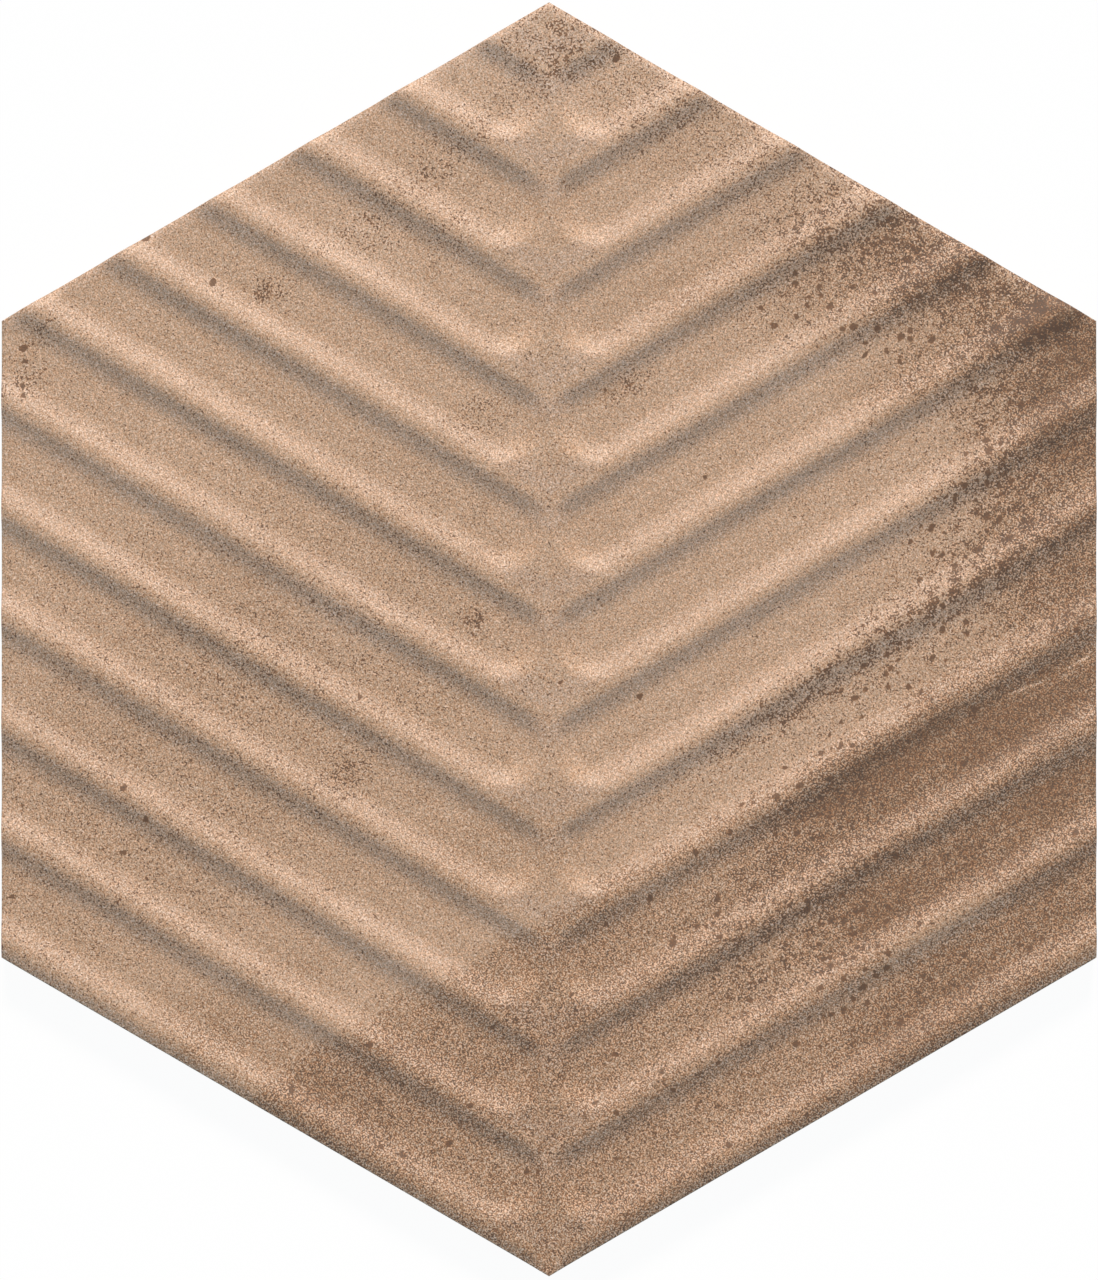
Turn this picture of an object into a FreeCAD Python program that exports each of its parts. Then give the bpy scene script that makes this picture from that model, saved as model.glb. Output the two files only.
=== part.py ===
"""Chevron wall tile: a fired, glazed hexagon with raised chevron ridges on a central spine.

Frame: origin at the centre of the back face, +Z out of the glazed face,
+Y towards the upper corner (the chevrons point to -Y), +X to the right. Millimetres.
"""
import FreeCAD, Part
import Sketcher
import math
import os

V = FreeCAD.Vector

SIZES = (
    # outline of the hexagon
    ("across_flats", 215.0, "width between the two upright sides"),
    ("corner_to_corner", 250.0, "height from the lower corner to the upper one"),
    ("side_length", 125.0, "height of an upright side"),
    # thickness
    ("body_thickness", 7.5, "back face to the floor of the recesses"),
    ("relief_height", 1.42, "floor of the recesses to the crest of the ridges"),
    # ridges and spine
    ("ridge_pitch", 18.35, "crest to crest, square to the ridges"),
    ("lowest_ridge_inset", 2.95, "lower edge of the tile to the crest of the lowest ridge"),
    ("flank_slope", 21.0, "flank of a ridge at its steepest, degrees from level"),
    ("flank_straight", 1.3, "straight part of a flank between its two roundings"),
    ("crest_radius", 5.0, "rounding where a flank meets the crest"),
    ("ridge_land", 0.1, "flat left on the crest of a ridge"),
    ("spine_land", 0.1, "flat left on the crest of the spine"),
    ("end_wall_straight", 1.7, "upright straight part of a recess's end beside the spine"),
    ("obtuse_floor_radius", 0.5, "upper inner corner of a recess, at its flat floor"),
    # edges
    ("rim_radius", 1.0, "rounded rim of the face"),
    ("back_edge_radius", 0.5, "rounded edge of the back"),
    # keyed back
    ("back_border", 11.0, "plain border round the keyed field"),
    ("groove_depth", 0.8, "depth of the grooves of the keyed field"),
    ("land_width", 6.0, "raised land between two grooves"),
    ("land_pitch", 12.0, "land to land"),
    ("land_draft", 20.0, "draft of the sides of a land, degrees"),
    # the slab that carries the relief is larger than the tile, which is cut from it
    ("trim_margin", 12.0, "how far the slab reaches past the outline"),
)

# values that follow from the sizes, as expressions
SLOPE = "atan((Sizes.corner_to_corner - Sizes.side_length) / Sizes.across_flats)"
CREST_LEVEL = "(Sizes.body_thickness + Sizes.relief_height)"
# section of a flank: level run, and what the crest and root roundings take up along each side
FLANK_RUN = "(Sizes.relief_height / tan(Sizes.flank_slope))"
FLANK_LENGTH = "(Sizes.relief_height / sin(Sizes.flank_slope))"
CREST_SETBACK = "(Sizes.crest_radius * tan(Sizes.flank_slope / 2))"
ROOT_SETBACK = f"({FLANK_LENGTH} - Sizes.flank_straight - {CREST_SETBACK})"
ROOT_RADIUS = f"({ROOT_SETBACK} / tan(Sizes.flank_slope / 2))"
# tops of a ridge and of the spine between their flanks, before they are rounded
RIDGE_TOP = f"(Sizes.ridge_land + 2 * {CREST_SETBACK})"
SPINE_TOP = f"(Sizes.spine_land + 2 * {CREST_SETBACK})"
# corners of a recess, on its top edge before that is rounded
OBTUSE_RADIUS = f"(Sizes.obtuse_floor_radius + {ROOT_SETBACK} + {FLANK_RUN})"
OBTUSE_CUT = f"({OBTUSE_RADIUS} * tan(45 deg - {SLOPE} / 2))"
END_WALL = f"((Sizes.ridge_pitch - {RIDGE_TOP}) / cos({SLOPE}))"
ACUTE_CUT = f"({END_WALL} - {OBTUSE_CUT} - Sizes.end_wall_straight)"
ACUTE_RADIUS = f"({ACUTE_CUT} / tan(45 deg + {SLOPE} / 2))"
# the pattern of ridges: step up the spine, and the lowest crest's distance from the origin
RIDGE_STEP = f"(Sizes.ridge_pitch / cos({SLOPE}))"
LOWEST_CREST = f"(Sizes.corner_to_corner / 2 * cos({SLOPE}) - Sizes.lowest_ridge_inset)"
RIDGE_ROOM = f"(Sizes.corner_to_corner - Sizes.lowest_ridge_inset / cos({SLOPE}))"
RIDGE_COUNT = f"floor({RIDGE_ROOM} / {RIDGE_STEP}) + 1"
# the slab that the tile is cut from
SLAB_SIDE = "(Sizes.across_flats / 2 + Sizes.trim_margin)"
SLAB_END = f"(Sizes.corner_to_corner / 2 + {SLAB_SIDE} * tan({SLOPE}) + {RIDGE_STEP})"
RECESS_END = f"({SLAB_SIDE} + {FLANK_RUN} + Sizes.trim_margin)"
LANDS_EACH_SIDE = "floor((Sizes.across_flats / 2 - Sizes.back_border) / Sizes.land_pitch)"

# two heights or places nearer than this are the same
NEAR = 1e-4

doc = FreeCAD.newDocument("chevron_wall_tile")


def make_sheet():
    sheet = doc.addObject("Spreadsheet::Sheet", "Sizes")
    for row, (alias, value, meaning) in enumerate(SIZES, start=1):
        sheet.set(f"A{row}", alias)
        sheet.set(f"B{row}", str(value))
        sheet.set(f"C{row}", meaning)
        sheet.setAlias(f"B{row}", alias)
    doc.recompute()
    return sheet


sizes = make_sheet()


def value(expression):
    """What an expression comes to with the sheet's sizes."""
    result = sizes.evalExpression(expression)
    return float(getattr(result, "Value", result))


def add_body(label):
    body = doc.addObject("PartDesign::Body", label)
    body.Label = label
    return body


def origin_feature(body, role):
    return next(f for f in body.Origin.OriginFeatures if f.Role == role)


def add_sketch(body, name, level=None):
    """A sketch square to Z, at the height that the expression level gives."""
    sketch = body.newObject("Sketcher::SketchObject", name)
    sketch.AttachmentSupport = [(origin_feature(body, "XY_Plane"), "")]
    sketch.MapMode = "FlatFace"
    if level:
        sketch.setExpression("AttachmentOffset.Base.z", level)
    return sketch


def drive(sketch, name, kind, expression, start=None):
    """Add a dimension to a sketch and tie it to an expression on the sheet's sizes."""
    start = value(expression) if start is None else start
    index = sketch.addConstraint(Sketcher.Constraint(*kind, start))
    sketch.renameConstraint(index, name)
    sketch.setExpression(f"Constraints.{name}", expression)


def add_polygon(sketch, points):
    """Closed run of lines through points, joined end to end."""
    count = len(points)
    for i in range(count):
        sketch.addGeometry(Part.LineSegment(points[i], points[(i + 1) % count]), False)
    for i in range(count):
        sketch.addConstraint(Sketcher.Constraint("Coincident", i, 2, (i + 1) % count, 1))


def hexagon_sketch(body, name, border="0"):
    """The tile's outline, or a hexagon that lies border inside it."""
    sketch = add_sketch(body, name)
    # moving each side in by the border moves the corners in by these amounts
    corner_in = f"({border}) / cos({SLOPE})"
    side_in = f"({corner_in} - ({border}) * tan({SLOPE}))"
    width = f"Sizes.across_flats / 2 - ({border})"
    side = f"Sizes.side_length / 2 - {side_in}"
    height = f"Sizes.corner_to_corner / 2 - {corner_in}"
    half_width = value(width)
    half_side = value(side)
    half_height = value(height)
    add_polygon(sketch, [
        V(0, half_height, 0), V(-half_width, half_side, 0), V(-half_width, -half_side, 0),
        V(0, -half_height, 0), V(half_width, -half_side, 0), V(half_width, half_side, 0)])
    # line i starts at corner i: upper, upper left, lower left, lower, lower right, upper right
    sketch.addConstraint(Sketcher.Constraint("PointOnObject", 0, 1, -2))
    sketch.addConstraint(Sketcher.Constraint("PointOnObject", 3, 1, -2))
    sketch.addConstraint(Sketcher.Constraint("Symmetric", 1, 1, 5, 1, -2))
    sketch.addConstraint(Sketcher.Constraint("Symmetric", 2, 1, 4, 1, -2))
    sketch.addConstraint(Sketcher.Constraint("Symmetric", 4, 1, 5, 1, -1))
    drive(sketch, "half_width", ("DistanceX", -1, 1, 5, 1), width)
    drive(sketch, "half_side", ("DistanceY", -1, 1, 5, 1), side)
    drive(sketch, "upper", ("DistanceY", -1, 1, 0, 1), height)
    drive(sketch, "lower", ("DistanceY", 3, 1, -1, 1), height)
    return sketch


def rectangle_sketch(body, name, right, half_height, left=None):
    """Upright rectangle between x = left, or the Y axis, and x = right (expressions)."""
    sketch = add_sketch(body, name)
    left_x = value(left) if left else 0.0
    right_x = value(right)
    top_y = value(half_height)
    add_polygon(sketch, [
        V(left_x, -top_y, 0), V(right_x, -top_y, 0), V(right_x, top_y, 0), V(left_x, top_y, 0)])
    sketch.addConstraint(Sketcher.Constraint("Horizontal", 0))
    sketch.addConstraint(Sketcher.Constraint("Vertical", 1))
    sketch.addConstraint(Sketcher.Constraint("Horizontal", 2))
    sketch.addConstraint(Sketcher.Constraint("Vertical", 3))
    if left:
        drive(sketch, "left", ("DistanceX", -1, 1, 0, 1), left)
    else:
        sketch.addConstraint(Sketcher.Constraint("PointOnObject", 0, 1, -2))
    drive(sketch, "right", ("DistanceX", -1, 1, 1, 1), right)
    drive(sketch, "top", ("DistanceY", -1, 1, 2, 1), half_height)
    drive(sketch, "bottom", ("DistanceY", 1, 1, -1, 1), half_height)
    return sketch


def recess_sketch(body, name):
    """The lowest recess right of the spine, as its top edge would be with no rounding.

    It runs between two ridges, from an upright end wall at the spine out past the slab.
    """
    sketch = add_sketch(body, name, CREST_LEVEL)
    slope = math.radians(value(SLOPE))
    along = V(math.cos(slope), math.sin(slope), 0)
    up = V(0, 1, 0)
    # the corners as they would be if sharp: the sides are a known distance from the origin
    wall_x = value(SPINE_TOP) / 2
    upper_away = value(f"{LOWEST_CREST} + {RIDGE_TOP} / 2")
    lower_away = value(f"{LOWEST_CREST} + Sizes.ridge_pitch - {RIDGE_TOP} / 2")
    obtuse = V(wall_x, (wall_x * math.sin(slope) - upper_away) / math.cos(slope), 0)
    acute = V(wall_x, (wall_x * math.sin(slope) - lower_away) / math.cos(slope), 0)
    reach = (value(RECESS_END) - wall_x) / math.cos(slope)
    obtuse_centre = obtuse + V(value(OBTUSE_RADIUS), -value(OBTUSE_CUT), 0)
    acute_centre = acute + V(value(ACUTE_RADIUS), value(ACUTE_CUT), 0)
    quarter = math.pi / 2
    # counter-clockwise: upper side inwards, obtuse corner, end wall, acute corner, lower side
    sketch.addGeometry([
        Part.LineSegment(obtuse + along * reach, obtuse + along * value(OBTUSE_CUT)),
        Part.ArcOfCircle(Part.Circle(obtuse_centre, V(0, 0, 1), value(OBTUSE_RADIUS)),
                         quarter + slope, 2 * quarter),
        Part.LineSegment(obtuse - up * value(OBTUSE_CUT), acute + up * value(ACUTE_CUT)),
        Part.ArcOfCircle(Part.Circle(acute_centre, V(0, 0, 1), value(ACUTE_RADIUS)),
                         2 * quarter, 3 * quarter + slope),
        Part.LineSegment(acute + along * value(ACUTE_CUT), acute + along * reach),
        Part.LineSegment(acute + along * reach, obtuse + along * reach)], False)
    for i in range(4):
        sketch.addConstraint(Sketcher.Constraint("Tangent", i, 2, i + 1, 1))
    sketch.addConstraint(Sketcher.Constraint("Coincident", 4, 2, 5, 1))
    sketch.addConstraint(Sketcher.Constraint("Coincident", 5, 2, 0, 1))
    sketch.addConstraint(Sketcher.Constraint("Vertical", 2))
    sketch.addConstraint(Sketcher.Constraint("Vertical", 5))
    sketch.addConstraint(Sketcher.Constraint("Parallel", 0, 4))
    drive(sketch, "slope", ("Angle", 4), SLOPE, slope)
    drive(sketch, "obtuse_radius", ("Radius", 1), OBTUSE_RADIUS)
    drive(sketch, "acute_radius", ("Radius", 3), ACUTE_RADIUS)
    drive(sketch, "end_wall", ("DistanceX", -1, 1, 2, 1), f"{SPINE_TOP} / 2")
    drive(sketch, "far_end", ("DistanceX", -1, 1, 5, 1), RECESS_END)
    drive(sketch, "upper_side", ("Distance", -1, 1, 0), f"{LOWEST_CREST} + {RIDGE_TOP} / 2")
    drive(sketch, "lower_side", ("Distance", -1, 1, 4),
          f"{LOWEST_CREST} + Sizes.ridge_pitch - {RIDGE_TOP} / 2")
    return sketch


def level_edges(shape, level, keep=None):
    """Names of the edges that lie flat at a height, and whose middle point passes keep."""
    names = []
    for number, edge in enumerate(shape.Edges, start=1):
        box = edge.BoundBox
        if abs(box.ZMin - level) < NEAR and abs(box.ZMax - level) < NEAR:
            middle = edge.valueAt((edge.FirstParameter + edge.LastParameter) / 2)
            if keep is None or keep(middle):
                names.append(f"Edge{number}")
    return names


def add_fillet(body, base, name, edges, radius):
    fillet = body.newObject("PartDesign::Fillet", name)
    fillet.Base = (base, edges)
    fillet.setExpression("Radius", radius)
    doc.recompute()
    return fillet


def check_cut(before, after, what):
    """Stop if a pocket pointed away from the solid and took nothing off."""
    if not after.Shape.Volume < before.Shape.Volume - 1.0:
        raise ValueError(f"{what} took nothing off")


def make_relief_slab():
    """Plate with the ridges, the spine and the keyed back, larger than the tile all round."""
    body = add_body("relief_slab")
    half = rectangle_sketch(body, "slab_half", SLAB_SIDE, SLAB_END)
    plate = body.newObject("PartDesign::Pad", "plate")
    plate.Profile = half
    plate.setExpression("Length", CREST_LEVEL)
    doc.recompute()

    # the recesses between the ridges are cut first, and the ridges are what they leave
    recess = body.newObject("PartDesign::Pocket", "recess")
    recess.Profile = recess_sketch(body, "recess_outline")
    recess.setExpression("Length", "Sizes.relief_height")
    recess.setExpression("TaperAngle", "Sizes.flank_slope - 90")
    doc.recompute()
    check_cut(plate, recess, "the recess")
    ridges = body.newObject("PartDesign::LinearPattern", "ridges")
    ridges.Originals = [recess]
    ridges.Direction = (origin_feature(body, "Y_Axis"), [""])
    ridges.Mode = "Spacing"
    ridges.setExpression("Offset", RIDGE_STEP)
    ridges.setExpression("Occurrences", RIDGE_COUNT)
    body.Tip = ridges
    doc.recompute()

    slab = plate.Shape.BoundBox
    floor = sizes.body_thickness
    crest = slab.ZMax

    def inside(point):
        return slab.XMin + NEAR < point.x < slab.XMax - NEAR and abs(point.y) < slab.YMax - NEAR

    roots = add_fillet(body, ridges, "roots", level_edges(ridges.Shape, floor, inside),
                       ROOT_RADIUS)
    add_fillet(body, roots, "crests", level_edges(roots.Shape, crest, inside),
               "Sizes.crest_radius")
    whole = body.newObject("PartDesign::Mirrored", "both_halves")
    whole.TransformMode = "Whole shape"
    whole.MirrorPlane = (origin_feature(body, "YZ_Plane"), [""])
    body.Tip = whole
    doc.recompute()

    # the keyed field is sunk into the back, and its lands stand up again to the back face
    field = body.newObject("PartDesign::Pocket", "keyed_field")
    field.Profile = hexagon_sketch(body, "field_outline", "Sizes.back_border")
    field.Reversed = True
    field.setExpression("Length", "Sizes.groove_depth")
    doc.recompute()
    check_cut(whole, field, "the keyed field")
    land = body.newObject("PartDesign::Pad", "land")
    first = f"-{LANDS_EACH_SIDE} * Sizes.land_pitch"
    land.Profile = rectangle_sketch(body, "land_outline", f"{first} + Sizes.land_width / 2",
                                    "Sizes.corner_to_corner / 2",
                                    f"{first} - Sizes.land_width / 2")
    land.setExpression("Length", "Sizes.groove_depth")
    land.setExpression("TaperAngle", "Sizes.land_draft")
    doc.recompute()
    lands = body.newObject("PartDesign::LinearPattern", "lands")
    lands.Originals = [land]
    lands.Direction = (origin_feature(body, "X_Axis"), [""])
    lands.Mode = "Spacing"
    lands.setExpression("Offset", "Sizes.land_pitch")
    lands.setExpression("Occurrences", f"2 * {LANDS_EACH_SIDE} + 1")
    body.Tip = lands
    doc.recompute()
    return body


def make_blank():
    """The tile's outside: a hexagonal plate with a rounded rim and back edge."""
    body = add_body("blank")
    plate = body.newObject("PartDesign::Pad", "blank_plate")
    plate.Profile = hexagon_sketch(body, "outline")
    plate.setExpression("Length", CREST_LEVEL)
    doc.recompute()

    top = plate.Shape.BoundBox.ZMax
    rim = add_fillet(body, plate, "rim", level_edges(plate.Shape, top), "Sizes.rim_radius")
    add_fillet(body, rim, "back_edge", level_edges(rim.Shape, 0.0), "Sizes.back_edge_radius")
    return body


slab = make_relief_slab()
blank = make_blank()

# the tile is the part of the slab that lies inside the blank
tile = doc.addObject("Part::Common", "chevron_tile")
tile.Label = "chevron_tile"
tile.Base = blank
tile.Tool = slab
tile.Refine = True
tile.Placement = FreeCAD.Placement(V(0, 0, 0), FreeCAD.Rotation())
doc.recompute()

for item in doc.Objects:
    if "Invalid" in item.State or "Error" in item.State:
        raise ValueError(f"{item.Label} failed: {item.State}")
if tile.Shape.isNull() or not tile.Shape.isValid():
    raise ValueError(f"{tile.Label} has no valid shape")
if len(tile.Shape.Solids) != 1:
    raise ValueError(f"{tile.Label} is {len(tile.Shape.Solids)} solids and not one")

os.makedirs("parts", exist_ok=True)
tile.Shape.exportStep(f"parts/{tile.Label}.step")
print(tile.Label, "volume", round(tile.Shape.Volume), "mm3, faces", len(tile.Shape.Faces))
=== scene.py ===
import math

import bmesh
import bpy
from mathutils import Matrix, Vector, noise as wander


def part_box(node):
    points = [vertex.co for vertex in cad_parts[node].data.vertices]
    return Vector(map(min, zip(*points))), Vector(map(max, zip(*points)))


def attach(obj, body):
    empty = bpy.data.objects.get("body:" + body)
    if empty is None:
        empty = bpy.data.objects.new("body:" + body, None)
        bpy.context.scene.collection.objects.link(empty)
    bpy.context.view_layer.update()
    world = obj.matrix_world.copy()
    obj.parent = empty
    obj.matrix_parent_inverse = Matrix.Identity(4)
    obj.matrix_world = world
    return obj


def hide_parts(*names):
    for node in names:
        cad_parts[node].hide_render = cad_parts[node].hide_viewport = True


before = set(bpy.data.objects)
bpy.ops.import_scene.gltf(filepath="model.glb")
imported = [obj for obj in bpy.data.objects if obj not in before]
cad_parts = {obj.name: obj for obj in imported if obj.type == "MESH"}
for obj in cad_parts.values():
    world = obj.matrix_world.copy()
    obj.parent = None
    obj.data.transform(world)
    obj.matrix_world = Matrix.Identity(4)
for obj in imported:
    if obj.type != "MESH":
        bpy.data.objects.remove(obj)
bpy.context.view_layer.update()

mm = 0.001

# Outline of the tile, from the frame: a hexagon with two upright sides
tile_low, tile_high = (Vector(corner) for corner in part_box("chevron_tile"))
across_flats = tile_high.x - tile_low.x
corner_to_corner = tile_high.y - tile_low.y
side_length = 125 * mm
crest_level = tile_high.z
slope = math.atan((corner_to_corner - side_length) / across_flats)
sin_slope = math.sin(slope)
cos_slope = math.cos(slope)
tan_slope = math.tan(slope)

# Relief of the face
relief_height = 1.42 * mm
ridge_pitch = 18.35 * mm
ridge_step = ridge_pitch / cos_slope
lowest_ridge_inset = 2.95 * mm
flank_slope = math.radians(21)
flank_straight = 1.3 * mm
crest_radius = 5 * mm
ridge_land = 0.1 * mm
spine_land = 0.1 * mm
obtuse_floor_radius = 0.5 * mm
end_wall_straight = 1.7 * mm

flank_run = relief_height / math.tan(flank_slope)
flank_length = relief_height / math.sin(flank_slope)
crest_setback = crest_radius * math.tan(flank_slope / 2)
root_setback = flank_length - flank_straight - crest_setback
root_radius = root_setback / math.tan(flank_slope / 2)
ridge_top = ridge_land + 2 * crest_setback
spine_top = spine_land + 2 * crest_setback
obtuse_radius = obtuse_floor_radius + root_setback + flank_run
obtuse_cut = obtuse_radius * math.tan(math.pi / 4 - slope / 2)
end_wall = (ridge_pitch - ridge_top) / cos_slope
acute_cut = end_wall - obtuse_cut - end_wall_straight
acute_radius = acute_cut / math.tan(math.pi / 4 + slope / 2)
lowest_crest_y = -corner_to_corner / 2 + lowest_ridge_inset / cos_slope
recess_count = int((corner_to_corner - lowest_ridge_inset / cos_slope) / ridge_step) + 1

# Edges and back
rim_width = 1.9 * mm
rim_radius = 4.6 * mm
arris_radius = 0.15 * mm
back_edge_radius = 0.5 * mm
back_border = 11 * mm
groove_depth = 0.8 * mm
land_width = 6 * mm
land_pitch = 12 * mm
land_draft = math.radians(20)

# Photograph, in pixels, and the place on the tile that is in its middle
photo_height = 1280
tile_width_in_photo = 1096
frame_middle_y = -0.16 * mm

# Floor: it lies a hair lower than the tile and reaches a little under it
floor_gap = 0.05 * mm
floor_lap = 1.2 * mm
floor_reach = 25
floor_white = 0.96

# Light: a cool fill from above, a plain one from below, and a warm key that makes up the rest
fill_light = (0.12, 0.27, 0.39)
fill_from_below = (0.9, 0.9, 0.9)
white_in_reflections = 0.8
key_elevation = math.radians(40)
key_azimuth = math.radians(2)
key_softness = math.radians(14)


def edge_distance(x, y):
    """How far a place on the face lies inside the nearest side of the hexagon."""
    upright = across_flats / 2 - abs(x)
    sloping = (corner_to_corner / 2 - abs(y)) * cos_slope - abs(x) * sin_slope
    return min(upright, sloping)


def drop(inside):
    """Depth below the crest at a distance inside a recess's unrounded top edge."""
    if inside <= -crest_setback:
        return 0.0
    crest_end = crest_radius * math.sin(flank_slope) - crest_setback
    root_start = flank_run + root_setback - root_radius * math.sin(flank_slope)
    if inside < crest_end:
        across = inside + crest_setback
        return crest_radius - math.sqrt(crest_radius ** 2 - across ** 2)
    if inside < root_start:
        return inside * math.tan(flank_slope)
    across = flank_run + root_setback - inside
    if across <= 0:
        return relief_height
    return relief_height - (root_radius - math.sqrt(root_radius ** 2 - across ** 2))


along_ridge = Vector((cos_slope, sin_slope))


def inside_recess(place, number):
    """Distance inside the unrounded top edge of a recess; the lowest one is number -1."""
    wall_x = spine_top / 2
    crest_y = lowest_crest_y + number * ridge_step
    acute = Vector((wall_x, crest_y + ridge_top / 2 / cos_slope + wall_x * tan_slope))
    obtuse = acute + Vector((0, end_wall))
    acute_centre = acute + Vector((acute_radius, acute_cut))
    obtuse_centre = obtuse + Vector((obtuse_radius, -obtuse_cut))
    from_acute = place - acute_centre
    if from_acute.dot(along_ridge) < 0 and from_acute.y < 0:
        return acute_radius - from_acute.length
    from_obtuse = place - obtuse_centre
    if from_obtuse.dot(along_ridge) < 0 and from_obtuse.y > 0:
        return obtuse_radius - from_obtuse.length
    height_above_crest = (place.y - place.x * tan_slope - crest_y) * cos_slope
    from_lower = height_above_crest - ridge_top / 2
    from_upper = ridge_pitch - ridge_top / 2 - height_above_crest
    return min(from_lower, from_upper, place.x - wall_x)


def edge_drop(from_edge, radius, width):
    """Fall of an arc that starts level at a width inside the edge."""
    across = max(width - from_edge, 0.0)
    return radius - math.sqrt(max(radius ** 2 - across ** 2, 0.0))


def face_height(x, y):
    """Height of the glazed face over the back plane."""
    # pressed ridges are never quite straight, nor quite evenly deep
    sway = wander.noise(Vector((x, y, 0)) / (38 * mm)) * 0.35 * mm
    evenness = 1 + wander.noise(Vector((x, 2 * y, 50 * mm)) / (45 * mm)) * 0.16
    place = Vector((abs(x), y + sway))
    over_crest = (place.y - place.x * tan_slope - lowest_crest_y) / ridge_step
    nearest = math.floor(over_crest)
    deepest = 0.0
    for number in (nearest - 1, nearest, nearest + 1):
        if number < recess_count - 1:
            deepest = max(deepest, drop(inside_recess(place, number)))
    deepest *= evenness
    # the face rounds over at the upright and upper edges; along the lower ones a ridge falls off
    from_rim = min(across_flats / 2 - abs(x),
                   (corner_to_corner / 2 - y) * cos_slope - abs(x) * sin_slope)
    deepest += edge_drop(from_rim, rim_radius, rim_width)
    return crest_level - deepest - edge_drop(edge_distance(x, y), arris_radius, arris_radius)


def spaced(start, end, step):
    """Places from start towards end, about a step apart, without the end itself."""
    count = max(round((end - start) / step), 1)
    return [start + (end - start) * i / count for i in range(count)]


rim_rows = [arris_radius * (1 - math.cos(math.radians(angle))) for angle in (0, 30, 60, 90)]
rim_rows += [0.5 * mm, 0.9 * mm, 1.4 * mm, rim_width]


def face_half(bm):
    """The right half of the face: a grid whose rows run along the ridges."""
    right = across_flats / 2
    spine_zone = 14 * mm
    fine = 0.5 * mm
    coarse = 2.2 * mm
    columns = spaced(0, spine_zone, fine) + spaced(spine_zone, right - rim_width, coarse)
    columns += [right - inset for inset in reversed(rim_rows)]
    low = -corner_to_corner / 2
    rows = [low + inset / cos_slope for inset in rim_rows[:-1]]
    rows += spaced(low + rim_width / cos_slope, corner_to_corner / 2, fine) + [corner_to_corner / 2]
    last_column = len(columns) - 1
    last_row = len(rows) - 1
    made = bmesh.ops.create_grid(bm, x_segments=last_column, y_segments=last_row, size=1)
    for vert in made["verts"]:
        column = round((vert.co.x + 1) / 2 * last_column)
        row = round((vert.co.y + 1) / 2 * last_row)
        x = columns[column]
        vert.co = Vector((x, rows[row] + x * tan_slope, 0))
    # cut along the upper edge, then again at each row of its rounding
    outward = Vector((sin_slope, cos_slope, 0))
    corner = Vector((0, corner_to_corner / 2, 0))
    for inset in rim_rows:
        bmesh.ops.bisect_plane(
            bm, geom=bm.verts[:] + bm.edges[:] + bm.faces[:], dist=1e-7,
            plane_co=corner - outward * inset, plane_no=outward, clear_outer=inset == 0)


def back_of_tile(bm):
    """Sides, rounded back edge, back face, and the grooves of the keyed field."""
    rim = [edge for edge in bm.edges if edge.is_boundary]
    apothem = across_flats / 2
    steps = [(0.0, back_edge_radius)]
    for angle in (30, 60, 90):
        turned = math.radians(angle)
        steps.append((back_edge_radius * (1 - math.cos(turned)),
                      back_edge_radius * (1 - math.sin(turned))))
    for inset, level in steps:
        made = bmesh.ops.extrude_edge_only(bm, edges=rim)["geom"]
        rim = [part for part in made if isinstance(part, bmesh.types.BMEdge)]
        for vert in (part for part in made if isinstance(part, bmesh.types.BMVert)):
            from_edge = edge_distance(vert.co.x, vert.co.y)
            shrink = 1 - max(inset - from_edge, 0) / apothem
            vert.co = Vector((vert.co.x * shrink, vert.co.y * shrink, level))
    bmesh.ops.contextual_create(bm, geom=rim)
    back = [face for face in bm.faces if abs(face.calc_center_median().z) < 1e-6]

    def cut(place, direction):
        geom = {part for face in back for part in (*face.verts, *face.edges, face)}
        made = bmesh.ops.bisect_plane(
            bm, geom=list(geom), dist=1e-7, plane_co=place, plane_no=direction)["geom"]
        back[:] = [part for part in made if isinstance(part, bmesh.types.BMFace)]

    for turn in (Vector((1, 0, 0)), Vector((sin_slope, cos_slope, 0)),
                 Vector((-sin_slope, cos_slope, 0))):
        reach = apothem if turn.y == 0 else corner_to_corner / 2 * cos_slope
        for way in (1, -1):
            cut(turn * way * (reach - back_border), turn)
    lands = int((apothem - back_border) / land_pitch)
    for number in range(-lands, lands + 1):
        for way in (1, -1):
            cut(Vector((number * land_pitch + way * land_width / 2, 0, 0)), Vector((1, 0, 0)))
    grooves = []
    for face in back:
        centre = face.calc_center_median()
        from_land = abs((centre.x + land_pitch / 2) % land_pitch - land_pitch / 2)
        if edge_distance(centre.x, centre.y) > back_border and from_land > land_width / 2:
            grooves.append(face)
    bmesh.ops.recalc_face_normals(bm, faces=bm.faces[:])
    bmesh.ops.inset_region(
        bm, faces=grooves, thickness=groove_depth * math.tan(land_draft), depth=-groove_depth,
        use_boundary=True, use_even_offset=True)


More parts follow.
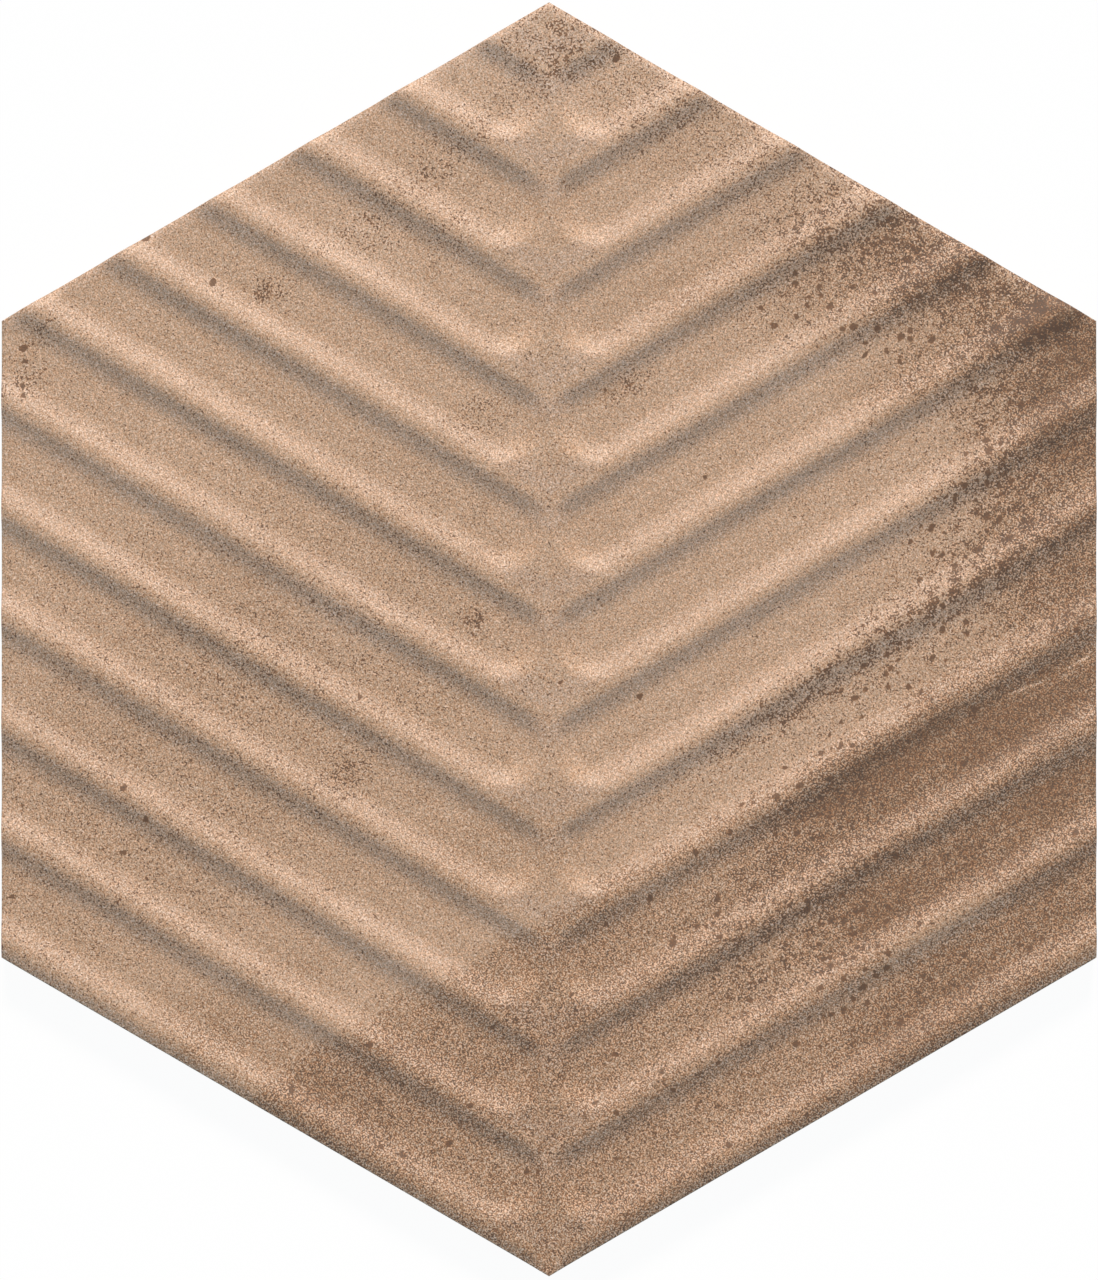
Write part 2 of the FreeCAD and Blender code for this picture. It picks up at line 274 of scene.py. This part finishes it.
# Stains of the printed glaze, in millimetres from the middle of the face:
# place, turn in degrees, half length, half width, strength
washes = (
    # streak along the upper side of the stained part, and the darker runs under it
    ((81.0, -20.5), 29, 38, 8.0, 0.24),
    ((62.0, -25.0), 29, 14, 6.0, 0.05),
    ((76.0, -9.0), 29, 8, 5.0, 0.05),
    ((84.0, -10.0), 29, 18, 5.0, 0.05),
    ((98.0, -25.0), 30, 15, 7.0, 0.05),
    ((100.0, -38.0), 30, 20, 9.0, 0.08),
    ((90.0, -38.0), 30, 34, 6.0, 0.16),
    ((61.0, -54.0), 40, 12, 7.0, 0.10),
    ((86.0, -63.0), 29, 32, 7.0, 0.16),
    ((68.0, -46.0), 30, 16, 6.0, 0.09),
    ((100.0, -46.0), 30, 12, 5.0, 0.06),
    ((72.0, -78.0), 30, 20, 8.0, 0.07),
    ((-20.0, -86.0), 30, 46, 15.0, 0.05),
    ((-56.0, -86.0), -30, 22, 10.0, 0.08),
    ((-39.0, -84.0), 30, 10, 8.0, 0.04),
    ((-58.0, -72.0), 30, 18, 7.0, 0.05),
    ((11.0, -58.0), 30, 10, 5.0, 0.05),
    ((36.0, -100.0), 30, 28, 5.0, 0.06),
    ((0.0, -111.0), 0, 18, 6.0, 0.05),
    ((-8.0, -41.0), 20, 20, 10.0, 0.06),
    # right corner
    ((104.0, 55.0), 80, 20, 11.0, 0.31),
    ((101.0, 25.0), 72, 22, 13.0, 0.19),
    ((84.0, 58.0), 28, 24, 6.5, 0.12),
    ((88.0, 43.0), 60, 10, 6.0, 0.08),
    ((100.0, 8.0), 30, 15, 5.0, 0.09),
    ((105.0, 16.0), 80, 14, 6.0, 0.07),
    # below the upper right edge
    ((68.0, 71.0), 24, 20, 9.0, 0.12),
    ((87.0, 67.5), -29, 22, 8.0, 0.09),
    ((40.0, 72.0), 30, 18, 6.0, 0.05),
    ((24.0, 68.0), 30, 9, 5.0, 0.04),
    # faint veil on the lower left
    ((-66.0, -22.0), 35, 62, 34.0, 0.045),
    # cleaner streaks
    ((106.0, 43.0), 31, 7, 4.5, -0.14),
    ((88.5, -50.0), 31, 25, 3.5, -0.07),
    ((52.0, 56.0), 33, 12, 8.0, -0.02),
    ((0.0, 112.0), 0, 24, 15.0, -0.06),
    ((-38.0, 78.0), -30, 12, 6.0, -0.05),
    ((-38.0, 4.0), -30, 14, 8.0, -0.05),
)
speck_fields = (
    # band under the upper right edge, thickest near the right corner
    ((39.4, 97.0), -30, 60, 14.0, 0.43),
    ((62.0, 74.0), 22, 28, 15.0, 0.48),
    ((82.0, 56.0), 30, 24, 12.0, 0.36),
    ((98.0, 45.0), 80, 44, 18.0, 0.50),
    ((78.5, 20.0), 45, 24, 12.0, 0.31),
    ((70.0, -1.0), 33, 32, 9.0, 0.38),
    ((45.0, -14.0), 34, 32, 4.0, 0.42),
    # the lower right, with a denser stretch in its middle
    ((43.3, -74.9), 30, 420, 34.0, 0.26),
    ((47.0, -49.0), 62, 28, 12.0, 0.40),
    # trail across the upper left
    ((-20.4, 95.0), 38, 32, 5.0, 0.40),
    ((-19.4, 80.0), 60, 7, 4.5, 0.44),
    ((-32.2, 78.7), 30, 6, 3.0, 0.36),
    ((-54.7, 67.9), 20, 3.5, 2.5, 0.80),
    ((2.0, 118.0), 20, 11, 6.0, 0.22),
    # single clusters
    ((-13.5, 43.8), 20, 7, 4.0, 0.46),
    ((15.9, 49.8), 40, 6, 3.0, 0.50),
    ((-14.5, 3.8), 0, 2.2, 1.8, 0.90),
    ((-40.0, -25.5), 40, 6, 4.0, 0.38),
    ((-99.8, 60.5), 60, 5, 2.6, 0.50),
    ((-104.0, 51.0), 0, 5, 3.5, 0.46),
    # thin scatter over the lower left
    ((-70.0, -25.0), 35, 66, 42.0, 0.24),
    ((-45.0, 10.0), 35, 45, 14.0, 0.08),
)
# round spots: the strength is the share of places that carry one
blots = (
    ((49.0, -31.0), 30, 14, 7.0, 0.45),
    ((59.0, -57.0), 60, 17, 9.0, 0.44),
    ((35.5, -59.0), 30, 12, 8.0, 0.25),
    ((69.0, -72.5), 30, 14, 6.0, 0.35),
    ((30.0, -88.0), 30, 14, 6.0, 0.10),
    ((71.0, -4.0), 30, 16, 7.0, 0.48),
    ((80.5, 19.5), 60, 12, 8.0, 0.42),
    ((88.5, 39.0), 60, 10, 8.0, 0.34),
    ((69.0, 57.0), 30, 10, 7.0, 0.36),
    ((59.0, 68.5), 22, 14, 9.0, 0.22),
    ((-54.7, 67.7), 20, 4, 3.0, 0.25),
    ((-104.5, 53.0), 60, 6, 4.0, 0.30),
    ((-70.0, -30.0), 35, 50, 30.0, 0.012),
)


def amount(place, stains):
    """All the stains of one list together, at a place in millimetres."""
    softness = 0.5
    level = 0.0
    for centre, turn, half_length, half_width, strength in stains:
        away = place - Vector(centre)
        away.rotate(Matrix.Rotation(-math.radians(turn), 2))
        reach = math.hypot(away.x / half_length, away.y / half_width)
        share = min(max((1 + softness - reach) / (2 * softness), 0.0), 1.0)
        level += strength * share * share * (3 - 2 * share)
    return level


# the lower right is stained all over, below a line that runs with its ridges
stain_line = -46.5


def below_line(place):
    """How far a place in millimetres lies below that line."""
    return stain_line - (place.y * cos_slope - place.x * sin_slope)


def make_tile():
    bm = bmesh.new()
    face_half(bm)
    bmesh.ops.mirror(bm, geom=bm.verts[:] + bm.edges[:] + bm.faces[:], matrix=Matrix(),
                     merge_dist=1e-6, axis="X")
    fields = {name: bm.verts.layers.float.new(name)
              for name in ("wash", "specks", "blots", "below_line")}
    for vert in bm.verts:
        place = vert.co.xy / mm
        vert[fields["wash"]] = amount(place, washes)
        vert[fields["specks"]] = amount(place, speck_fields)
        vert[fields["blots"]] = amount(place, blots)
        vert[fields["below_line"]] = below_line(place)
        vert.co.z = face_height(vert.co.x, vert.co.y)
    face_count = len(bm.faces)
    back_of_tile(bm)
    for index, face in enumerate(bm.faces):
        on_face = index < face_count
        face.smooth = on_face
        face.material_index = 0 if on_face else 1
    for edge in bm.edges:
        if len({face.smooth for face in edge.link_faces}) > 1:
            edge.smooth = False
    mesh = bpy.data.meshes.new("glazed_tile")
    bm.to_mesh(mesh)
    bm.free()
    tile = bpy.data.objects.new("glazed_tile", mesh)
    bpy.context.scene.collection.objects.link(tile)
    return tile


tile = make_tile()
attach(tile, "root")
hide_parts("chevron_tile")


def node(tree, kind, **settings):
    made = tree.nodes.new(kind)
    for name, setting in settings.items():
        setattr(made, name, setting)
    return made


def feed(tree, source, target):
    """Join an output to an input, or set the input to a plain value."""
    if isinstance(source, bpy.types.NodeSocket):
        tree.links.new(source, target)
    else:
        target.default_value = source


def calc(tree, operation, *terms):
    made = node(tree, "ShaderNodeMath", operation=operation)
    for source, target in zip(terms, made.inputs):
        feed(tree, source, target)
    return made.outputs[0]


def vector_calc(tree, operation, *terms):
    made = node(tree, "ShaderNodeVectorMath", operation=operation)
    for source, target in zip(terms, made.inputs):
        feed(tree, source, target)
    return made.outputs["Vector"]


def rise(tree, source, low, high, least=0.0, most=1.0):
    """Smooth step from least at low to most at high."""
    made = node(tree, "ShaderNodeMapRange", interpolation_type="SMOOTHSTEP")
    for source, target in zip((source, low, high, least, most), made.inputs):
        feed(tree, source, target)
    return made.outputs["Result"]


def noise(tree, place, scale, detail=0.0, roughness=0.5, dimensions="3D"):
    made = node(tree, "ShaderNodeTexNoise", noise_dimensions=dimensions)
    feed(tree, place, made.inputs["Vector"])
    feed(tree, scale, made.inputs["Scale"])
    feed(tree, detail, made.inputs["Detail"])
    feed(tree, roughness, made.inputs["Roughness"])
    return made


def mix_colour(tree, share, first, second, blend="MIX"):
    made = node(tree, "ShaderNodeMix", data_type="RGBA", blend_type=blend)
    feed(tree, share, made.inputs[0])
    feed(tree, first, made.inputs[6])
    feed(tree, second, made.inputs[7])
    return made.outputs[2]


def colour(red, green, blue):
    """A colour as it is seen, 0 to 255, turned into the linear one that the shader takes."""
    def linear(level):
        level = level / 255
        return level / 12.92 if level <= 0.04045 else ((level + 0.055) / 1.055) ** 2.4
    return (linear(red), linear(green), linear(blue), 1)


def new_group(name, inputs, outputs):
    """Empty node group with named sockets; inputs are (name, kind, value)."""
    group = bpy.data.node_groups.new(name, "ShaderNodeTree")
    for label, kind, start in inputs:
        socket = group.interface.new_socket(label, in_out="INPUT", socket_type=kind)
        if start is not None:
            socket.default_value = start
    for label, kind in outputs:
        group.interface.new_socket(label, in_out="OUTPUT", socket_type=kind)
    return group, node(group, "NodeGroupInput").outputs, node(group, "NodeGroupOutput").inputs


def place_group(tree, group, **values):
    made = node(tree, "ShaderNodeGroup", node_tree=group)
    for label, source in values.items():
        feed(tree, source, made.inputs[label])
    return made


FLOAT = "NodeSocketFloat"
VECTOR = "NodeSocketVector"


def make_stain_patch():
    """Soft oval at a place on the face, turned and stretched."""
    group, given, out = new_group(
        "stain_patch",
        (("Place", VECTOR, None), ("Centre", VECTOR, None), ("Turn", VECTOR, None),
         ("Reach", VECTOR, None), ("Softness", FLOAT, 0.5)),
        (("Mask", FLOAT),))
    oval = node(group, "ShaderNodeMapping", vector_type="TEXTURE")
    for label, socket in (("Place", "Vector"), ("Centre", "Location"), ("Turn", "Rotation"),
                          ("Reach", "Scale")):
        feed(group, given[label], oval.inputs[socket])
    away = node(group, "ShaderNodeVectorMath", operation="LENGTH")
    feed(group, oval.outputs[0], away.inputs[0])
    inner = calc(group, "SUBTRACT", 1.0, given["Softness"])
    outer = calc(group, "ADD", 1.0, given["Softness"])
    feed(group, rise(group, away.outputs["Value"], inner, outer, 1.0, 0.0), out["Mask"])
    return group


def make_grain():
    """Fine worm-like grain: a level that swings evenly round zero."""
    group, given, out = new_group(
        "fine_grain", (("Place", VECTOR, None), ("Period", FLOAT, 0.5)), (("Level", FLOAT),))
    scale = calc(group, "DIVIDE", 1.0, given["Period"])
    # turned off the axes, so that no rows or columns show
    skewed = node(group, "ShaderNodeVectorRotate", rotation_type="EULER_XYZ")
    feed(group, given["Place"], skewed.inputs["Vector"])
    skewed.inputs["Rotation"].default_value = (0.61, 0.47, 0.83)
    swirl = noise(group, skewed.outputs[0], scale).outputs["Fac"]
    feed(group, calc(group, "MULTIPLY", calc(group, "SUBTRACT", swirl, 0.5), 5.0), out["Level"])
    return group


def make_speckle():
    """Separate specks of about one size, more of them as the density rises."""
    group, given, out = new_group(
        "speckle",
        (("Place", VECTOR, None), ("Size", FLOAT, 1.0), ("Density", FLOAT, 0.5),
         ("Softness", FLOAT, 0.05)),
        (("Mask", FLOAT),))
    scale = calc(group, "DIVIDE", 1.0, given["Size"])
    lumps = noise(group, given["Place"], scale).outputs["Fac"]
    low = calc(group, "MULTIPLY_ADD", given["Density"], -0.22, 0.74)
    mask = rise(group, lumps, low, calc(group, "ADD", low, given["Softness"]))
    feed(group, mask, out["Mask"])
    return group


def make_spots():
    """Separate round spots; the density is the share of places that carry one."""
    group, given, out = new_group(
        "spots", (("Place", VECTOR, None), ("Spacing", FLOAT, 2.2), ("Density", FLOAT, 0.3)),
        (("Mask", FLOAT),))
    cells = node(group, "ShaderNodeTexVoronoi", voronoi_dimensions="2D", feature="F1")
    feed(group, given["Place"], cells.inputs["Vector"])
    feed(group, calc(group, "DIVIDE", 1.0, given["Spacing"]), cells.inputs["Scale"])
    chance = node(group, "ShaderNodeSeparateColor")
    feed(group, cells.outputs["Color"], chance.inputs[0])
    kept = calc(group, "LESS_THAN", chance.outputs["Red"], given["Density"])
    reach = rise(group, chance.outputs["Green"], 0.0, 1.0, 0.13, 0.31)
    spot = rise(group, cells.outputs["Distance"], calc(group, "SUBTRACT", reach, 0.06),
                calc(group, "ADD", reach, 0.06), 1.0, 0.0)
    feed(group, calc(group, "MULTIPLY", kept, spot), out["Mask"])
    return group


stain_patch = make_stain_patch()
fine_grain = make_grain()
speckle = make_speckle()
spots = make_spots()

# Pale scratches, in millimetres: place, turn in degrees, half length, half width
scratches = (
    ((93.4, -9.6), 21, 4.2, 0.35),
    ((103.8, -4.6), 31, 2.9, 0.30),
)

# Shades of the print: lightness, and the colour as it is seen
print_shades = (
    (0.00, (93, 68, 51)),
    (0.25, (125, 89, 62)),
    (0.50, (156, 121, 91)),
    (0.70, (186, 153, 126)),
    (0.85, (209, 173, 146)),
    (1.00, (230, 198, 173)),
)
warm_cast = (1.06, 1.0, 0.92, 1)
cool_cast = (0.86, 0.98, 1.09, 1)
# cooler cast of the painted highlight and shade on the ridge flanks and upper edges
ridge_light_cast = (0.985, 1.01, 1.06, 1)


def painted(tree, name):
    """A field that is painted on the mesh."""
    return node(tree, "ShaderNodeAttribute", attribute_name=name).outputs["Fac"]


def place_in_mm(tree):
    """Object coordinates in millimetres."""
    here = node(tree, "ShaderNodeTexCoord").outputs["Object"]
    made = node(tree, "ShaderNodeVectorMath", operation="SCALE")
    feed(tree, here, made.inputs["Vector"])
    made.inputs["Scale"].default_value = 1000
    return made.outputs["Vector"]


def empty_tree(owner):
    """The emptied node tree of a material or a world."""
    owner.use_nodes = True
    owner.node_tree.nodes.clear()
    return owner.node_tree


def new_material(name):
    material = bpy.data.materials.new(name)
    tree = empty_tree(material)
    surface = node(tree, "ShaderNodeBsdfPrincipled")
    out = node(tree, "ShaderNodeOutputMaterial")
    feed(tree, surface.outputs[0], out.inputs["Surface"])
    return material, tree, surface.inputs


def add_bump(tree, surface, height, strength, distance):
    bump = node(tree, "ShaderNodeBump")
    bump.inputs["Strength"].default_value = strength
    bump.inputs["Distance"].default_value = distance
    feed(tree, height, bump.inputs["Height"])
    feed(tree, bump.outputs[0], surface["Normal"])


def ridge_fields(tree, on_plan):
    """Share of a pitch above the last crest, share of a pitch off the nearest crest, and the
    distance to the upper edges in millimetres."""
    parts = node(tree, "ShaderNodeSeparateXYZ")
    feed(tree, on_plan, parts.inputs[0])
    x, y = parts.outputs["X"], parts.outputs["Y"]
    aside = calc(tree, "ABSOLUTE", x)
    rung = calc(tree, "MULTIPLY_ADD", aside, -tan_slope, y)
    rung = calc(tree, "MULTIPLY_ADD", rung, mm / ridge_step, -lowest_crest_y / ridge_step)
    upper_corner = corner_to_corner / 2 * cos_slope / mm
    from_top = calc(tree, "MULTIPLY_ADD", y, -cos_slope, upper_corner)
    from_top = calc(tree, "MULTIPLY_ADD", aside, -sin_slope, from_top)
    return calc(tree, "FRACT", rung), calc(tree, "PINGPONG", rung, 0.5), from_top


def print_fields(tree, on_plan, over_crest):
    """Washes, specks and spots of the print, its clouds and the noise that frays its edges; the
    specks also hold painted shade on the lower flanks of the ridges.
    """
    # long streaks that run with the ridges of the right half
    streak_place = node(tree, "ShaderNodeMapping", vector_type="TEXTURE")
    feed(tree, on_plan, streak_place.inputs["Vector"])
    streak_place.inputs["Rotation"].default_value = (0, 0, math.radians(31))
    streak_place.inputs["Scale"].default_value = (10, 1, 1)
    streaks = noise(tree, streak_place.outputs[0], 0.22, 2.0, 0.6, "2D").outputs["Fac"]
    clouds = noise(tree, on_plan, 0.14, 3.0, 0.65, "2D").outputs["Fac"]
    uneven = calc(tree, "MULTIPLY", rise(tree, streaks, 0.32, 0.68, 0.84, 1.16),
                  rise(tree, clouds, 0.25, 0.75, 0.85, 1.15))
    clouds = calc(tree, "SUBTRACT", clouds, 0.5)
    frayed = noise(tree, on_plan, 0.5, 2.0, 0.6, "2D").outputs["Fac"]
    frayed = calc(tree, "SUBTRACT", frayed, 0.5)
    edges = calc(tree, "MULTIPLY_ADD", frayed, 0.9, uneven)

    below = calc(tree, "MULTIPLY_ADD", clouds, 9.0, painted(tree, "below_line"))
    below = calc(tree, "MULTIPLY_ADD", frayed, 7.0, below)
    below = rise(tree, below, -1.5, 2.5, 0.0, 0.13)
    wash = calc(tree, "ADD", painted(tree, "wash"), below)
    wash = calc(tree, "MINIMUM", calc(tree, "MULTIPLY", wash, edges), 0.42)

    # the specks gather in clusters; the extra specks on the lower flank of each ridge, which faces
    # away from the key, are painted shade
    clusters = noise(tree, on_plan, 0.42, 1.0, 0.6, "2D").outputs["Fac"]
    specks = calc(tree, "MULTIPLY", painted(tree, "specks"), edges)
    specks = calc(tree, "MULTIPLY", specks, rise(tree, clusters, 0.38, 0.62, 0.50, 1.50))
    shaded_flank = calc(tree, "MULTIPLY", rise(tree, over_crest, 0.70, 0.82),
                 rise(tree, over_crest, 0.92, 0.99, 1.0, 0.0))
    specks = calc(tree, "MULTIPLY_ADD", shaded_flank, 0.12, specks)

    scattered = calc(tree, "MULTIPLY_ADD", below, 0.3, 0.002)
    blotches = calc(tree, "ADD", painted(tree, "blots"), scattered)
    return wash, specks, blotches, clouds, frayed


def print_level(tree, place, on_plan, worms, wash, specks, blotches, clouds, frayed):
    """Lightness of the print, 0 to 1."""
    # the grain is coarse where the print is dark: light and dark worms side by side
    coarse = calc(tree, "MULTIPLY", rise(tree, wash, 0.0, 0.25, 0.17, 0.42),
                  rise(tree, wash, 0.26, 0.42, 1.0, 0.75))
    swing = calc(tree, "MINIMUM", calc(tree, "MULTIPLY", worms, coarse), 0.34)
    level = calc(tree, "SUBTRACT", 0.68, wash)
    level = calc(tree, "ADD", level, swing)
    level = calc(tree, "MULTIPLY_ADD", clouds, 0.09, level)

    # dark specks of the print, with more on the lower ridge flanks as painted shade
    dark_specks = place_group(
        tree, speckle, Place=place, Size=0.38, Density=calc(tree, "ADD", specks, 0.06),
        Softness=0.03).outputs["Mask"]
    level = calc(tree, "MULTIPLY_ADD", dark_specks, -0.58, level)

    # a spot covers most of the grain under it
    spot_place = vector_calc(tree, "ADD", on_plan, calc(tree, "MULTIPLY", frayed, 1.6))
    spot = place_group(tree, spots, Place=spot_place, Spacing=2.2,
                       Density=blotches).outputs["Mask"]
    uncovered = calc(tree, "MULTIPLY_ADD", spot, -0.85, 1.0)
    level = calc(tree, "MULTIPLY_ADD", level, uncovered, calc(tree, "MULTIPLY", spot, 0.02))

    pale_dots = place_group(
        tree, speckle, Place=vector_calc(tree, "ADD", place, (40.0, 7.0, 0.0)), Size=0.40,
        Density=0.25, Softness=0.05).outputs["Mask"]
    level = calc(tree, "MULTIPLY_ADD", pale_dots, rise(tree, wash, 0.05, 0.3, 0.20, 0.04), level)
    for (x, y), turn, half_length, half_width in scratches:
        scratch = place_group(
            tree, stain_patch, Place=on_plan, Centre=(x, y, 0),
            Turn=(0, 0, math.radians(turn)), Reach=(half_length, half_width, 1), Softness=0.5)
        level = calc(tree, "MULTIPLY_ADD", scratch.outputs["Mask"], 0.35, level)
    return level


def print_shade(tree, level, place, wash):
    """Colour of the print at a lightness; some grains are cooler, some warmer."""
    ramp = node(tree, "ShaderNodeValToRGB")
    feed(tree, level, ramp.inputs["Fac"])
    tones = ramp.color_ramp.elements
    for stop, shade in print_shades[1:-1]:
        tones.new(stop).color = colour(*shade)
    tones[0].color = colour(*print_shades[0][1])
    tones[-1].color = colour(*print_shades[-1][1])
    tint = place_group(tree, fine_grain, Place=vector_calc(tree, "ADD", place, (5.0, 31.0, 0.0)),
                       Period=0.42).outputs["Level"]
    # the casts lie further apart where the print is dark
    spread = rise(tree, wash, 0.0, 0.3, 0.30, 0.50)
    cooler = rise(tree, tint, -0.8, 0.8, calc(tree, "SUBTRACT", 0.5, spread),
                  calc(tree, "ADD", 0.5, spread))
    cast = mix_colour(tree, cooler, warm_cast, cool_cast)
    return mix_colour(tree, 1.0, ramp.outputs["Color"], cast, "MULTIPLY")


def make_glaze():
    """Satin glaze, printed with worm-like grain, specks, spots and brown washes."""
    material, tree, surface = new_material("glaze")
    place = place_in_mm(tree)
    on_plan = vector_calc(tree, "MULTIPLY", place, (1, 1, 0))
    over_crest, off_crest, from_top = ridge_fields(tree, on_plan)
    wash, *others = print_fields(tree, on_plan, over_crest)
    worms = place_group(tree, fine_grain, Place=place, Period=0.29).outputs["Level"]
    level = print_level(tree, place, on_plan, worms, wash, *others)
    shade = print_shade(tree, level, place, wash)

    # painted light: the flanks of the ridges and the upper edges get a cooler cast, a painted
    # highlight on the lit flanks and edges and painted cool shade on the shaded flanks
    ridge_light_tint = calc(tree, "MULTIPLY", rise(tree, off_crest, 0.02, 0.10),
                rise(tree, off_crest, 0.20, 0.32, 1.0, 0.0))
    ridge_light_tint = calc(tree, "MAXIMUM", ridge_light_tint, rise(tree, from_top, 0.3, 3.0, 1.0, 0.0))
    shade = mix_colour(tree, ridge_light_tint, shade, ridge_light_cast, "MULTIPLY")
    feed(tree, shade, surface["Base Color"])

    feed(tree, rise(tree, level, 0.1, 0.9, 0.66, 0.50), surface["Roughness"])
    surface["Specular IOR Level"].default_value = 0.5
    add_bump(tree, surface, worms, 0.25, 0.03 * mm)
    return material


def make_fired_body():
    """Unglazed fired clay of the sides and back, with a lip of glaze under the rim."""
    material, tree, surface = new_material("fired_body")
    place = place_in_mm(tree)
    parts = node(tree, "ShaderNodeSeparateXYZ")
    feed(tree, place, parts.inputs[0])
    height = parts.outputs["Z"]

    grain = place_group(tree, fine_grain, Place=place, Period=0.8).outputs["Level"]
    clouds = noise(tree, place, 0.07, 4.0, 0.6).outputs["Fac"]
    clay = mix_colour(tree, rise(tree, clouds, 0.3, 0.7), colour(194, 168, 146),
                      colour(180, 148, 124))
    grit = place_group(tree, speckle, Place=place, Size=0.8, Density=0.25,
                       Softness=0.05).outputs["Mask"]
    clay = mix_colour(tree, calc(tree, "MULTIPLY", grit, 0.7), clay, colour(112, 78, 58))
    clay = mix_colour(tree, rise(tree, grain, -1.2, 1.2, 0.0, 0.25), clay, colour(146, 112, 90))

    # kiln wash rubs off on the lands and border of the back, and stays out of the grooves
    worn = noise(tree, place, 0.22, 5.0, 0.7).outputs["Fac"]
    on_land = rise(tree, height, 0.02, 0.12, 1.0, 0.0)
    dusty = calc(tree, "MULTIPLY", rise(tree, worn, 0.36, 0.68, 0.05, 0.60), on_land)
    clay = mix_colour(tree, dusty, clay, colour(210, 196, 180))

    # the glaze runs over the rim and stops at a wavering edge
    waver = noise(tree, place, 0.35, 3.0, 0.6).outputs["Fac"]
    edge = calc(tree, "MULTIPLY_ADD", waver, 1.6, crest_level / mm - 3.4)
    glazed = rise(tree, calc(tree, "SUBTRACT", height, edge), -0.12, 0.12)
    feed(tree, mix_colour(tree, glazed, clay, colour(182, 150, 126)), surface["Base Color"])
    feed(tree, calc(tree, "MULTIPLY_ADD", glazed, -0.32, 0.88), surface["Roughness"])
    surface["Specular IOR Level"].default_value = 0.4

    pits = place_group(tree, speckle, Place=vector_calc(tree, "ADD", place, (9.0, 3.0, 5.0)),
                       Size=0.7, Density=0.30, Softness=0.08).outputs["Mask"]
    relief = calc(tree, "MULTIPLY_ADD", grain, 0.25, calc(tree, "MULTIPLY", pits, -1.0))
    relief = calc(tree, "MULTIPLY_ADD", glazed, 2.0, relief)
    add_bump(tree, surface, relief, 0.5, 0.05 * mm)
    return material


tile.data.materials.append(make_glaze())
tile.data.materials.append(make_fired_body())


def seen_itself(tree):
    """1 for camera, glossy and transmission rays, 0 for the rays that carry light."""
    ray = node(tree, "ShaderNodeLightPath").outputs
    seen = calc(tree, "MAXIMUM", ray["Is Camera Ray"], ray["Is Glossy Ray"])
    return calc(tree, "MAXIMUM", seen, ray["Is Transmission Ray"])


def mix_with_white(tree, share, lit, white, output):
    """Surface of a floor or world: white by a share, what is lit for the rest."""
    mix = node(tree, "ShaderNodeMixShader")
    feed(tree, share, mix.inputs["Fac"])
    feed(tree, lit.outputs[0], mix.inputs[1])
    feed(tree, white.outputs[0], mix.inputs[2])
    feed(tree, mix.outputs[0], node(tree, output).inputs["Surface"])


def make_floor():
    """Pale floor, open under the tile, so that the back shows in a view from below."""
    bm = bmesh.new()
    opening = (across_flats / 2 - floor_lap) / math.cos(math.radians(30))
    bmesh.ops.create_circle(bm, segments=6, radius=opening)
    made = bmesh.ops.extrude_edge_only(bm, edges=bm.edges[:])["geom"]
    for vert in (part for part in made if isinstance(part, bmesh.types.BMVert)):
        vert.co *= floor_reach
    for vert in bm.verts:
        vert.co.z = -floor_gap
    bmesh.ops.recalc_face_normals(bm, faces=bm.faces[:])
    mesh = bpy.data.meshes.new("floor")
    bm.to_mesh(mesh)
    bm.free()
    floor = bpy.data.objects.new("floor", mesh)
    bpy.context.scene.collection.objects.link(floor)

    paper = bpy.data.materials.new("floor_paper")
    tree = empty_tree(paper)
    lit = node(tree, "ShaderNodeBsdfDiffuse")
    lit.inputs["Color"].default_value = (0.92, 0.92, 0.92, 1)
    white = node(tree, "ShaderNodeEmission")
    white.inputs["Strength"].default_value = 1.0
    share = calc(tree, "MULTIPLY", seen_itself(tree), floor_white)
    mix_with_white(tree, share, lit, white, "ShaderNodeOutputMaterial")
    floor.data.materials.append(paper)


def make_world():
    """White where it is seen. Where it lights, a weak cool fill from above, and a plain pale one
    from below, which reaches only the back of the tile."""
    world = bpy.data.worlds.new("studio")
    bpy.context.scene.world = world
    tree = empty_tree(world)
    fill = node(tree, "ShaderNodeBackground")
    way = node(tree, "ShaderNodeSeparateXYZ")
    feed(tree, node(tree, "ShaderNodeTexCoord").outputs["Generated"], way.inputs[0])
    from_below = calc(tree, "LESS_THAN", way.outputs["Z"], 0.0)
    feed(tree, mix_colour(tree, from_below, (*fill_light, 1), (*fill_from_below, 1)),
         fill.inputs["Color"])
    white = node(tree, "ShaderNodeBackground")
    white.inputs["Color"].default_value = (1, 1, 1, 1)
    # full white for the camera, a little less in reflections
    seen_directly = node(tree, "ShaderNodeLightPath").outputs["Is Camera Ray"]
    strength = calc(tree, "MULTIPLY_ADD", seen_directly, 1 - white_in_reflections,
                    white_in_reflections)
    feed(tree, strength, white.inputs["Strength"])
    mix_with_white(tree, seen_itself(tree), fill, white, "ShaderNodeOutputWorld")


def make_key():
    """One soft lamp from the side of the upper corner."""
    data = bpy.data.lights.new("key", "SUN")
    data.angle = key_softness
    data.color = [1 - share for share in fill_light]
    data.energy = math.pi / math.sin(key_elevation)
    key = bpy.data.objects.new("key", data)
    key_from = Vector((math.sin(key_azimuth) * math.cos(key_elevation),
                       math.cos(key_azimuth) * math.cos(key_elevation),
                       math.sin(key_elevation)))
    key.rotation_euler = key_from.to_track_quat("Z", "Y").to_euler()
    bpy.context.scene.collection.objects.link(key)


def make_camera():
    """Straight down on the face through a long lens."""
    data = bpy.data.cameras.new("camera")
    data.lens = 200
    data.sensor_width = 36
    data.clip_end = 20
    camera = bpy.data.objects.new("camera", data)
    frame_height = across_flats * photo_height / tile_width_in_photo
    distance = frame_height * data.lens / data.sensor_width
    camera.location = (0, frame_middle_y, crest_level + distance)
    bpy.context.scene.collection.objects.link(camera)
    bpy.context.scene.camera = camera


make_floor()
make_world()
make_key()
make_camera()

bpy.context.scene.view_settings.view_transform = "Standard"
